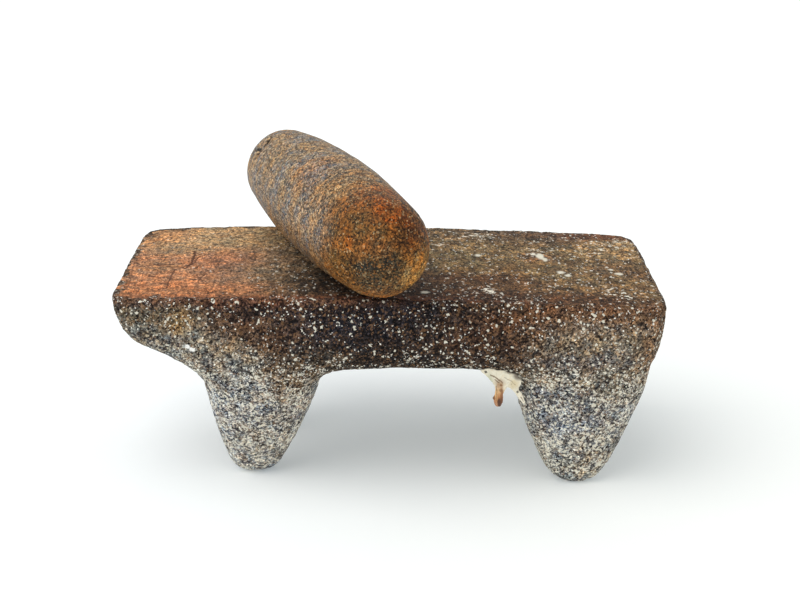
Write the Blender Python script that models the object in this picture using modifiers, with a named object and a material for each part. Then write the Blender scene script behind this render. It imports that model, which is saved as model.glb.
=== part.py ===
"""A saddle quern: one block of volcanic stone on four feet, with the handstone that lies across it.

Metres, +Z up. The long side of the quern runs along X and its front face looks along -Y. Each piece is
modelled about the middle of the slab's plan at ground level, and an empty then moves them all, so that
the origin is under the middle of everything, on the ground.
"""

import math
from collections import namedtuple

import bmesh
import bpy
from mathutils import Matrix, Vector
from mathutils.bvhtree import BVHTree

# Slab, with the grinding face on top
SLAB_LENGTH = 0.354
SLAB_DEPTH = 0.182
SLAB_THICKNESS = 0.054
GRINDING_HEIGHT = 0.1345
TOP_FALL = 0.0065
LEVEL_SHARE = 0.5
BACK_BULGE = 0.013
WAIST_DROP = 0.0135
RIGHT_END_TAPER = 0.006

# Overhang at the left end, thinned from below
OVERHANG = 0.053
OVERHANG_RISE = 0.0155
TIP_LENGTH = 0.024
TIP_UNDERCUT = 0.015

# Legs, from the slab's underside to the ground
LEG_DEPTH = 0.064
LEFT_LEG_WIDTH = 0.0825
RIGHT_LEG_WIDTH = 0.0995
LEG_TAPER = 0.63
FOOT_WIDTH = 0.0195
LEFT_FOOT_SETBACK = 0.0575
RIGHT_FOOT_SETBACK = 0.039
LEFT_FOOT_SPREAD = 0.009
RIGHT_FOOT_SPREAD = -0.0045
LEG_STAGES = (0.82, 0.6, 0.38, 0.18, 0.06, 0.0)

# How sharp the edges of the quern are, from 0 for round to 1 for a knife edge
RIM_SHARPNESS = 0.56
LOWER_RIM_SHARPNESS = 0.17
FRONT_CORNER_SHARPNESS = 0.33
BACK_CORNER_SHARPNESS = 0.31
SMOOTHING_LEVELS = 2

# A loop of four points smooths down to this share of its half width
LOOP_SHRINK = 11 / 12

# Handstone, a long roller with blunt ends
HANDSTONE_LENGTH = 0.290
HANDSTONE_DIAMETER = 0.0733
HANDSTONE_SLIMMING = 0.23
NEAR_END_LENGTH = 0.031
FAR_END_LENGTH = 0.0175
HANDSTONE_PLACE_X = -0.0398
HANDSTONE_PLACE_Y = 0.0066
HANDSTONE_TURN = math.radians(17.3)
WORN_FLAT_WIDTH = 0.014
HANDSTONE_SEGMENTS = 28
BODY_STEPS = 11
END_STEPS = 5

# Dried remnant in the corner between the underside and the front right leg
REMNANT_WIDTH = 0.030
REMNANT_DROP = 0.026
REMNANT_THICKNESS = 0.009
REMNANT_SETBACK = 0.005

# Air left between two pieces that touch
CLEARANCE = 0.0003

# Points closer together than this are taken as level with each other
ALIGNED = 0.00001

# Colours of the pieces, as linear red, green and blue
STONE_COLOUR = (0.150, 0.122, 0.100)
HANDSTONE_COLOUR = (0.250, 0.145, 0.085)
REMNANT_COLOUR = (0.480, 0.350, 0.220)

FRONT = -SLAB_DEPTH / 2
BACK = SLAB_DEPTH / 2
LEFT = -SLAB_LENGTH / 2
RIGHT = SLAB_LENGTH / 2
UNDERSIDE = GRINDING_HEIGHT - SLAB_THICKNESS

Leg = namedtuple("Leg", "left right front back foot_x foot_y")


def clear_scene():
    """Remove every object that the file holds."""
    for old in list(bpy.data.objects):
        bpy.data.objects.remove(old, do_unlink=True)


def new_collection(name):
    """Add a collection to the scene."""
    collection = bpy.data.collections.new(name)
    bpy.context.scene.collection.children.link(collection)
    return collection


def new_material(name, colour, roughness):
    """Make a plain material for one piece."""
    material = bpy.data.materials.new(name)
    material.use_nodes = True
    shader = material.node_tree.nodes["Principled BSDF"]
    shader.inputs["Base Color"].default_value = (*colour, 1.0)
    shader.inputs["Roughness"].default_value = roughness
    shader.inputs["Metallic"].default_value = 0.0
    return material


def new_object(name, mesh, collection, material=None):
    """Put a mesh into the scene as a named object."""
    piece = bpy.data.objects.new(name, mesh)
    if material is not None:
        mesh.materials.append(material)
    collection.objects.link(piece)
    return piece


def hide_as_guide(piece):
    """Mark an object that only cuts others."""
    piece.hide_render = True
    piece.display_type = "WIRE"


def smoothing(piece, levels):
    """Round a coarse cage off."""
    subdivision = piece.modifiers.new("Smoothing", "SUBSURF")
    subdivision.levels = levels
    subdivision.render_levels = levels


def cut_away(piece, cutter):
    """Take the cutter's volume out of a piece."""
    cut = piece.modifiers.new("Cut by " + cutter.name, "BOOLEAN")
    cut.operation = "DIFFERENCE"
    cut.object = cutter


def legs():
    """The four legs: where each starts on the underside and where its foot stands."""
    left_leg = LEFT + OVERHANG
    right_leg = RIGHT - RIGHT_LEG_WIDTH
    left_foot = left_leg + LEFT_LEG_WIDTH / 2 - LEFT_FOOT_SPREAD
    right_foot = right_leg + RIGHT_LEG_WIDTH / 2 + RIGHT_FOOT_SPREAD
    placed = []
    for edge, inward in ((FRONT, 1), (BACK + BACK_BULGE, -1)):
        front, back = sorted((edge, edge + inward * LEG_DEPTH))
        placed.append(Leg(left_leg, left_leg + LEFT_LEG_WIDTH, front, back,
                          left_foot, edge + inward * LEFT_FOOT_SETBACK))
        placed.append(Leg(right_leg, RIGHT - RIGHT_END_TAPER, front, back,
                          right_foot, edge + inward * RIGHT_FOOT_SETBACK))
    return placed


def top_height(x):
    """The grinding face is level on the left and falls towards the right end."""
    start = LEFT + SLAB_LENGTH * LEVEL_SHARE
    share = max(0.0, (x - start) / (RIGHT - start))
    return GRINDING_HEIGHT - TOP_FALL * share


def underside_height(x):
    """The underside is flat over the legs and rises evenly under the overhang."""
    rise = OVERHANG_RISE / (OVERHANG - TIP_LENGTH)
    return UNDERSIDE + rise * max(0.0, LEFT + OVERHANG - x)


def shape_slab_point(point):
    """Move a point of the block to its place on the worn and undercut slab."""
    x, y, z = point
    if z > GRINDING_HEIGHT - ALIGNED:
        point.z = top_height(x)
    elif z > UNDERSIDE + ALIGNED:
        point.z = top_height(x) - WAIST_DROP
    else:
        if x < LEFT + ALIGNED:
            point.x += TIP_UNDERCUT
        if x > RIGHT - ALIGNED:
            point.x -= RIGHT_END_TAPER
        point.z = underside_height(point.x)
    if y > BACK - ALIGNED:
        point.y += BACK_BULGE * min(1.0, (x - LEFT) / OVERHANG)


def loop_half_width(full_width, share):
    """Half width of a leg's cage loop at a share of its height, from a foot to its full width."""
    width = FOOT_WIDTH + (full_width - FOOT_WIDTH) * share ** LEG_TAPER
    return width / 2 / LOOP_SHRINK


def extrude_leg(cage, leg):
    """Draw one leg down from its cell of the underside, loop by loop, to a flat foot."""
    middle = Vector(((leg.left + leg.right) / 2, (leg.front + leg.back) / 2, UNDERSIDE))
    downward = [face for face in cage.faces if face.normal.z < -0.5]
    cell = min(downward, key=lambda face: (face.calc_center_median() - middle).length)
    foot = Vector((leg.foot_x, leg.foot_y, 0.0))
    crease = cage.edges.layers.float["crease_edge"]
    for edge in cell.edges:
        edge[crease] = 0.0
    for share in LEG_STAGES:
        grown = bmesh.ops.extrude_discrete_faces(cage, faces=[cell])
        cell = grown["faces"][0]
        half_x = loop_half_width(leg.right - leg.left, share)
        half_y = loop_half_width(leg.back - leg.front, share)
        centre = foot.lerp(middle, share)
        old_centre = cell.calc_center_median()
        for corner in cell.verts:
            side_x = math.copysign(half_x, corner.co.x - old_centre.x)
            side_y = math.copysign(half_y, corner.co.y - old_centre.y)
            corner.co = (centre.x + side_x, centre.y + side_y, UNDERSIDE * share)
    for edge in cell.edges:
        edge[crease] = 1.0


def sharpen_rims(cage):
    """Give the rims and the upright corners of the slab their own sharpness."""
    crease = cage.edges.layers.float.new("crease_edge")
    for edge in cage.edges:
        first, second = (vert.co for vert in edge.verts)
        upright = abs(first.z - second.z) > abs(first.x - second.x) + abs(first.y - second.y)
        at_front = max(first.y, second.y) < FRONT + ALIGNED
        at_back = min(first.y, second.y) > BACK - ALIGNED
        at_left = max(first.x, second.x) < LEFT + ALIGNED
        at_right = min(first.x, second.x) > RIGHT - ALIGNED
        on_top = min(first.z, second.z) > GRINDING_HEIGHT - ALIGNED
        below = max(first.z, second.z) < UNDERSIDE + ALIGNED
        outside = at_front or at_back or at_left or at_right
        corner = (at_front or at_back) and (at_left or at_right)
        if upright and corner:
            edge[crease] = FRONT_CORNER_SHARPNESS if at_front else BACK_CORNER_SHARPNESS
        elif outside and on_top:
            edge[crease] = RIM_SHARPNESS
        elif outside and below:
            edge[crease] = LOWER_RIM_SHARPNESS


def cut_cells(cage, place, direction):
    """Cut the whole cage by a plane and keep both sides."""
    whole = list(cage.verts) + list(cage.edges) + list(cage.faces)
    bmesh.ops.bisect_plane(cage, geom=whole, plane_co=place, plane_no=direction)


def quern_mesh():
    """The cage of the quern: a block cut into cells, shaped, with a leg drawn from each corner cell."""
    cage = bmesh.new()
    block = Matrix.Translation((0, 0, (GRINDING_HEIGHT + UNDERSIDE) / 2))
    block @= Matrix.Diagonal((SLAB_LENGTH, SLAB_DEPTH, SLAB_THICKNESS, 1))
    bmesh.ops.create_cube(cage, size=1.0, matrix=block)
    front_left, front_right, back_left, back_right = legs()
    span = (front_left.right + front_right.left) / 2
    for x in (LEFT + TIP_LENGTH, front_left.left, front_left.right, span, front_right.left):
        cut_cells(cage, (x, 0, 0), (1, 0, 0))
    for y in (front_left.back, back_left.front):
        cut_cells(cage, (0, y, 0), (0, 1, 0))
    cut_cells(cage, (0, 0, GRINDING_HEIGHT - WAIST_DROP), (0, 0, 1))
    sharpen_rims(cage)
    cage.normal_update()
    for leg in (front_left, front_right, back_left, back_right):
        extrude_leg(cage, leg)
    for vert in cage.verts:
        if vert.co.z > UNDERSIDE - ALIGNED:
            shape_slab_point(vert.co)
    bmesh.ops.recalc_face_normals(cage, faces=cage.faces)
    mesh = bpy.data.meshes.new("Quern")
    cage.to_mesh(mesh)
    cage.free()
    mesh.shade_smooth()
    return mesh


def handstone_radius(along):
    """Radius of the handstone at a distance from its middle, towards the far end."""
    half = HANDSTONE_LENGTH / 2
    body = HANDSTONE_DIAMETER / 2 * (1 - HANDSTONE_SLIMMING * (along / half) ** 2)
    end_length = FAR_END_LENGTH if along > 0 else NEAR_END_LENGTH
    into_end = (abs(along) - (half - end_length)) / end_length
    return body * math.sqrt(max(0.0, 1 - max(0.0, into_end) ** 2))


def handstone_stations():
    """Distances along the handstone, far end first, closer together where the ends curve."""
    half = HANDSTONE_LENGTH / 2
    stations = []
    for step in range(END_STEPS + 1):
        stations.append(half - FAR_END_LENGTH * (1 - math.cos(math.pi / 2 * step / END_STEPS)))
    body = HANDSTONE_LENGTH - FAR_END_LENGTH - NEAR_END_LENGTH
    for step in range(1, BODY_STEPS):
        stations.append(half - FAR_END_LENGTH - body * step / BODY_STEPS)
    for step in range(END_STEPS + 1):
        stations.append(NEAR_END_LENGTH - half - NEAR_END_LENGTH * math.sin(math.pi / 2 * step / END_STEPS))
    return stations


def make_handstone(collection, cutters, material, quern):
    """Turn the handstone from its profile and rest it on the grinding face by its worn flat."""
    profile = bpy.data.meshes.new("Handstone")
    points = [(handstone_radius(along), 0.0, along) for along in handstone_stations()]
    profile.from_pydata(points, [(i, i + 1) for i in range(len(points) - 1)], [])
    handstone = new_object("handstone", profile, collection, material)
    turning = handstone.modifiers.new("Turning", "SCREW")
    turning.steps = HANDSTONE_SEGMENTS
    turning.render_steps = HANDSTONE_SEGMENTS
    turning.use_merge_vertices = True
    turning.merge_threshold = ALIGNED
    turning.use_smooth_shade = True

    radius = HANDSTONE_DIAMETER / 2
    flat_height = highest_under_handstone(quern) + CLEARANCE
    flat_depth = radius - math.sqrt(radius ** 2 - (WORN_FLAT_WIDTH / 2) ** 2)
    handstone.location = (HANDSTONE_PLACE_X, HANDSTONE_PLACE_Y, flat_height + radius - flat_depth)
    handstone.rotation_euler = (-math.pi / 2, 0, HANDSTONE_TURN)

    bpy.ops.mesh.primitive_cube_add(size=1.0)
    grinding_plane = bpy.context.object
    grinding_plane.name = "Handstone flat cutter"
    for owner in list(grinding_plane.users_collection):
        owner.objects.unlink(grinding_plane)
    cutters.objects.link(grinding_plane)
    grinding_plane.dimensions = (HANDSTONE_LENGTH, HANDSTONE_LENGTH, radius)
    grinding_plane.location = (HANDSTONE_PLACE_X, HANDSTONE_PLACE_Y, flat_height - radius / 2)
    hide_as_guide(grinding_plane)
    cut_away(handstone, grinding_plane)
    return handstone


def highest_under_handstone(quern):
    """The highest point of the quern under the line that the handstone lies on."""
    tree = BVHTree.FromObject(quern, bpy.context.evaluated_depsgraph_get())
    line = Vector((-math.sin(HANDSTONE_TURN), math.cos(HANDSTONE_TURN), 0))
    start = Vector((HANDSTONE_PLACE_X, HANDSTONE_PLACE_Y, 2 * GRINDING_HEIGHT))
    hits = []
    for step in range(BODY_STEPS + 1):
        along = HANDSTONE_LENGTH * (step / BODY_STEPS - 0.5)
        hit = tree.ray_cast(start + line * along, Vector((0, 0, -1)))[0]
        if hit is not None:
            hits.append(hit.z)
    return max(hits)


def make_quern_cutter(quern, cutters):
    """A copy of the quern, larger by the clearance, that cuts what sits against it."""
    cutter = quern.copy()
    cutter.name = "Quern cutter"
    cutters.objects.link(cutter)
    swell = cutter.modifiers.new("Clearance", "DISPLACE")
    swell.mid_level = 0.0
    swell.strength = CLEARANCE
    hide_as_guide(cutter)
    return cutter


def make_remnant(collection, material, quern_cutter):
    """The dried remnant: a limb along the corner, one down the leg and a tail that hangs free."""
    root = REMNANT_THICKNESS / 2
    corner = Vector((legs()[1].left, FRONT + REMNANT_SETBACK, UNDERSIDE + root))
    # Each knot is a share of the width and of the drop from the corner, and a share of the root's thickness
    knots = {
        "underside end": (-0.72, 0.02, 0.45),
        "web": (-0.32, -0.15, 0.95),
        "leg corner": (0.07, -0.25, 0.90),
        "leg": (0.20, -0.55, 0.80),
        "leg end": (0.29, -0.85, 0.45),
        "tail": (-0.34, -0.55, 0.75),
        "tail end": (-0.33, -0.93, 0.45),
    }
    strands = (("underside end", "web"), ("web", "leg corner"), ("leg corner", "leg"),
               ("leg", "leg end"), ("web", "tail"), ("tail", "tail end"))
    names = list(knots)
    places = [corner + Vector((across * REMNANT_WIDTH, 0, down * REMNANT_DROP))
              for across, down, _ in knots.values()]
    mesh = bpy.data.meshes.new("Remnant")
    mesh.from_pydata(places, [(names.index(start), names.index(end)) for start, end in strands], [])
    remnant = new_object("dried_remnant", mesh, collection, material)
    remnant.modifiers.new("Skin", "SKIN")
    for skin, (_, _, thickness) in zip(mesh.skin_vertices[0].data, knots.values()):
        skin.radius = (root * thickness, root * thickness)
    smoothing(remnant, 1)
    cut_away(remnant, quern_cutter)
    return remnant


def step_to_origin(pieces):
    """The step that brings the middle of the pieces' box above the origin and its bottom to the ground."""
    bpy.context.view_layer.update()
    depsgraph = bpy.context.evaluated_depsgraph_get()
    corners = []
    for piece in pieces:
        ready = piece.evaluated_get(depsgraph)
        corners += [ready.matrix_world @ vert.co for vert in ready.to_mesh().vertices]
        ready.to_mesh_clear()
    low = Vector(min(corner[axis] for corner in corners) for axis in range(3))
    high = Vector(max(corner[axis] for corner in corners) for axis in range(3))
    middle = (low + high) / 2
    return Vector((-middle.x, -middle.y, -low.z))


def main():
    """Build every piece and set the whole on its origin."""
    clear_scene()
    collection = new_collection("Saddle quern")
    cutters = new_collection("Cutters")
    stone = new_material("Quern stone", STONE_COLOUR, 0.85)
    roller_stone = new_material("Handstone stone", HANDSTONE_COLOUR, 0.7)
    dried = new_material("Dried remnant", REMNANT_COLOUR, 0.8)

    quern = new_object("quern", quern_mesh(), collection, stone)
    smoothing(quern, SMOOTHING_LEVELS)
    bpy.context.view_layer.update()
    handstone = make_handstone(collection, cutters, roller_stone, quern)
    quern_cutter = make_quern_cutter(quern, cutters)
    remnant = make_remnant(collection, dried, quern_cutter)

    origin = bpy.data.objects.new("Origin", None)
    collection.objects.link(origin)
    origin.location = step_to_origin((quern, handstone, remnant))
    for piece in list(collection.objects) + list(cutters.objects):
        if piece is not origin:
            piece.parent = origin
    bpy.context.view_layer.update()


main()
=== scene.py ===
"""Looks of a four-legged saddle quern with its handstone and a dried scrap left under it.

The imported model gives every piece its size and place. This script gives each piece its worn, pecked
or weathered surface and its stone, and sets the pale studio round it. Lengths are metres, +Z is up,
and the front of the quern faces -Y.
"""

import logging
import math
from dataclasses import dataclass, field
from enum import Enum
from functools import reduce

import bmesh
import bpy
import numpy as np
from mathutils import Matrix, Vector, noise


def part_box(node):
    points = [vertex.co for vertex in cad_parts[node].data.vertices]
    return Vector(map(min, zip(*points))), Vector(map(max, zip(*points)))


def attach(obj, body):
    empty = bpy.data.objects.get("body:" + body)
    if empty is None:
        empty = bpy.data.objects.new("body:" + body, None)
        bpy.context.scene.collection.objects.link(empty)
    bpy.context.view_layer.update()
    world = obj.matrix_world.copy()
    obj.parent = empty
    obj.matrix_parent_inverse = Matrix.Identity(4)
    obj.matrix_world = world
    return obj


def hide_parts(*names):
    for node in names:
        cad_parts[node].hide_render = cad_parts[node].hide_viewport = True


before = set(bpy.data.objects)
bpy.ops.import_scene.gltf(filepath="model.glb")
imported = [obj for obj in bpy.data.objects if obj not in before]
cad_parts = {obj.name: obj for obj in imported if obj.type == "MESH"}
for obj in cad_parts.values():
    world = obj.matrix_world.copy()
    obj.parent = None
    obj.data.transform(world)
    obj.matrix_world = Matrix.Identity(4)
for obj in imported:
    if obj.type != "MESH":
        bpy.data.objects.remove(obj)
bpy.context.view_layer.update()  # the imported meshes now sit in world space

log = logging.getLogger("saddle_quern")

MERGE_DISTANCE = 0.00001
TRIANGLE_BUDGET = 190_000
MILLIMETRE = 0.001

# Wanders are a wavelength and how far edges are pushed; those of grains and flecks are in their own sizes
BROAD_WANDER = (0.030, 0.010)
FINE_WANDER = (0.007, 0.005)
STEADY_WANDER = (0.0030, 0.0016)
GRAIN_WANDER = (0.9, 0.55)
FLECK_WANDER = (0.7, 0.35)
FLECK_CLUSTER = 7.0
FLECK_GATHERING = 0.70
FLECK_LIMIT = 1.16
FLECK_REACH = 0.3
FLECK_EDGE = 0.025
HAIRLINE_CORE = 0.3
GRINDING_DRAW = (1.0, 0.50, 1.0)
WORN_EDGE_SIZE = 0.0022
WORN_EDGE_REACH = 0.9
WORN_EDGE = (0.72, 1.06)
CLOUD_EDGE = (0.36, 0.64)
BUMP_STRENGTH = 0.8
EASE_IN = 0.50
LET_OUT = -0.52
OCTAVE_SHIFT = 17.3

Socket = bpy.types.NodeSocket
Colour = tuple[float, float, float]
Triple = tuple[float, float, float]
Pair = tuple[float, float]


def srgb(red: int, green: int, blue: int) -> Colour:
    """Turn a screen colour, 0 to 255, into linear light.

    Args:
        red: Red on the screen.
        green: Green on the screen.
        blue: Blue on the screen.

    Returns:
        The three linear values.
    """
    shares = (red / 255, green / 255, blue / 255)
    return tuple(s / 12.92 if s <= 0.04045 else ((s + 0.055) / 1.055) ** 2.4 for s in shares)


def smooth_share(values: np.ndarray, low: float, high: float) -> np.ndarray:
    """Ease values from 0 at low to 1 at high; low may be the larger.

    Args:
        values: The values to ease.
        low: Where the share is 0.
        high: Where the share is 1.

    Returns:
        A share from 0 to 1 for each value.
    """
    share = np.clip((values - low) / (high - low), 0, 1)
    return share * share * (3 - 2 * share)


@dataclass
class Bench:
    """A node tree being wired, with short calls for the nodes used here."""

    tree: bpy.types.NodeTree

    def add(self, kind: str, feeds: dict | None = None, **settings) -> bpy.types.Node:
        """Add one node.

        Args:
            kind: The node's type.
            feeds: A value or a socket for each named or numbered input.
            **settings: The node's own properties.

        Returns:
            The new node.
        """
        node = self.tree.nodes.new(kind)
        for name, value in settings.items():
            setattr(node, name, value)
        for name, value in (feeds or {}).items():
            self.feed(node.inputs[name], value)
        return node

    def feed(self, target: Socket, value: object) -> None:
        """Link a socket to an input, or set the input to a plain value.

        Args:
            target: The input.
            value: A socket, a number, a vector or a colour.
        """
        if isinstance(value, Socket):
            self.tree.links.new(value, target)
        elif target.type == "RGBA" and len(value) == 3:
            target.default_value = (*value, 1)
        else:
            target.default_value = value

    def number(self, operation: str, *terms: object, clamp: bool = False) -> Socket:
        """Work out one number from others.

        Args:
            operation: The Math node's operation.
            *terms: Its two or three terms.
            clamp: Whether the result stays from 0 to 1.

        Returns:
            The result's socket.
        """
        feeds = dict(enumerate(terms))
        return self.add("ShaderNodeMath", feeds, operation=operation, use_clamp=clamp).outputs[0]

    def plus(self, first: object, second: object) -> Socket:
        """Add two numbers.

        Args:
            first: One of them.
            second: The other.

        Returns:
            The result's socket.
        """
        return self.number("ADD", first, second)

    def times(self, *factors: object) -> Socket:
        """Multiply numbers together.

        Args:
            *factors: The numbers, two or more.

        Returns:
            The result's socket.
        """
        return reduce(lambda first, second: self.number("MULTIPLY", first, second), factors)

    def vector(self, operation: str, *terms: object) -> Socket:
        """Work out one vector from others; SCALE takes the number second.

        Args:
            operation: The Vector Math node's operation.
            *terms: Its terms.

        Returns:
            The result's socket, a number for LENGTH and DOT_PRODUCT.
        """
        feeds = dict(enumerate(terms))
        if operation == "SCALE":
            feeds = {0: terms[0], "Scale": terms[1]}
        node = self.add("ShaderNodeVectorMath", feeds, operation=operation)
        return node.outputs["Value" if operation in ("LENGTH", "DOT_PRODUCT") else "Vector"]

    def remap(self, value: Socket, low: object, high: object, start: float = 0.0, end: float = 1.0) -> Socket:
        """Ease a value between two others.

        Args:
            value: The value read.
            low: Where the result is start.
            high: Where the result is end.
            start: The result at low.
            end: The result at high.

        Returns:
            The eased value's socket.
        """
        feeds = {0: value, 1: low, 2: high, 3: start, 4: end}
        return self.add("ShaderNodeMapRange", feeds, interpolation_type="SMOOTHSTEP").outputs[0]

    def mix(self, share: object, under: object, over: object, blend: str = "MIX") -> Socket:
        """Lay one colour over another.

        Args:
            share: How much of the upper colour shows.
            under: The lower colour.
            over: The upper colour.
            blend: The Mix node's blend type.

        Returns:
            The mixed colour's socket.
        """
        feeds = {0: share, 6: under, 7: over}
        return self.add("ShaderNodeMix", feeds, data_type="RGBA", blend_type=blend).outputs[2]

    def noise(self, place: Socket, size: float, detail: float = 3.0,
              roughness: float = 0.6) -> bpy.types.Node:
        """Add a noise whose broadest features are about a given size.

        Args:
            place: The coordinates.
            size: The features' size.
            detail: How many finer octaves it has.
            roughness: How strong those are.

        Returns:
            The noise node.
        """
        feeds = {"Vector": place, "Scale": 1 / size, "Detail": detail, "Roughness": roughness}
        return self.add("ShaderNodeTexNoise", feeds)

    def warped(self, place: Socket, size: float, reach: float) -> Socket:
        """Push coordinates about by a noise, so that edges drawn on them wander.

        Args:
            place: The coordinates.
            size: The wander's wavelength.
            reach: How far it pushes each way.

        Returns:
            The pushed coordinates' socket.
        """
        pushes = self.noise(place, size, roughness=0.5).outputs["Color"]
        centred = self.vector("SUBTRACT", pushes, (0.5, 0.5, 0.5))
        return self.vector("ADD", place, self.vector("SCALE", centred, 2 * reach))

    def group(self, tree: bpy.types.NodeTree, feeds: dict) -> bpy.types.Node:
        """Place a shared node group.

        Args:
            tree: The group.
            feeds: Its inputs by name.

        Returns:
            The group's node.
        """
        node = self.tree.nodes.new("ShaderNodeGroup")
        node.node_tree = tree
        for name, value in feeds.items():
            self.feed(node.inputs[name], value)
        return node


class Face(Enum):
    """Where on the quern a stain takes hold."""

    WORN = "worn"
    ROUGH = "rough"
    ALL = "all"


@dataclass(frozen=True)
class Stain:
    """A soft patch of colour on a stone; most are stains, and a few rows are painted shade.

    Attributes:
        centre: Its middle.
        reach: Its half size along X, Y and Z.
        colour: Its linear colour.
        strength: How far it covers what is under it, 0 to 1.
        face: The faces that it shows on.
        softness: How wide its edge is, as a share of its reach.
    """

    centre: Triple
    reach: Triple
    colour: Colour
    strength: float
    face: Face
    softness: float


@dataclass(frozen=True)
class Crack:
    """A hairline crack, run through points given on coordinates flattened square to its face.

    Attributes:
        points: The points that it runs through.
        width: Its half width.
        depth: How dark it is, 0 to 1.
    """

    points: tuple[Triple, ...]
    width: float
    depth: float


@dataclass(frozen=True)
class Mottle:
    """Soft clouds that tint a stone.

    Attributes:
        size: The clouds' size.
        dark: The tint that multiplies the colour on one side of them.
        light: The tint that multiplies it on the other.
        strength: How strongly they show, 0 to 1.
    """

    size: float
    dark: Colour
    light: Colour
    strength: float = 1.0


@dataclass(frozen=True)
class GrainTints:
    """The colours of a stone's grains and how strongly each shows; the dark one multiplies."""

    pale: Colour
    dark: Colour
    rusty: Colour
    pale_strength: float
    dark_strength: float
    rusty_strength: float
    swing: float


def stain_rows(face: Face, *rows: tuple) -> tuple[Stain, ...]:
    """Make stains from plain rows.

    Args:
        face: The faces that they show on.
        *rows: Each one's middle and reach in millimetres, its screen colour, strength and softness.

    Returns:
        The stains.
    """
    def metres(place: Triple) -> Triple:
        return tuple(value / 1000 for value in place)

    return tuple(Stain(metres(centre), metres(reach), srgb(*colour), strength, face, softness)
                 for centre, reach, colour, strength, softness in rows)


class SocketKind(Enum):
    """The kinds of socket that the shared groups have."""

    NUMBER = "NodeSocketFloat"
    VECTOR = "NodeSocketVector"


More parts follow.
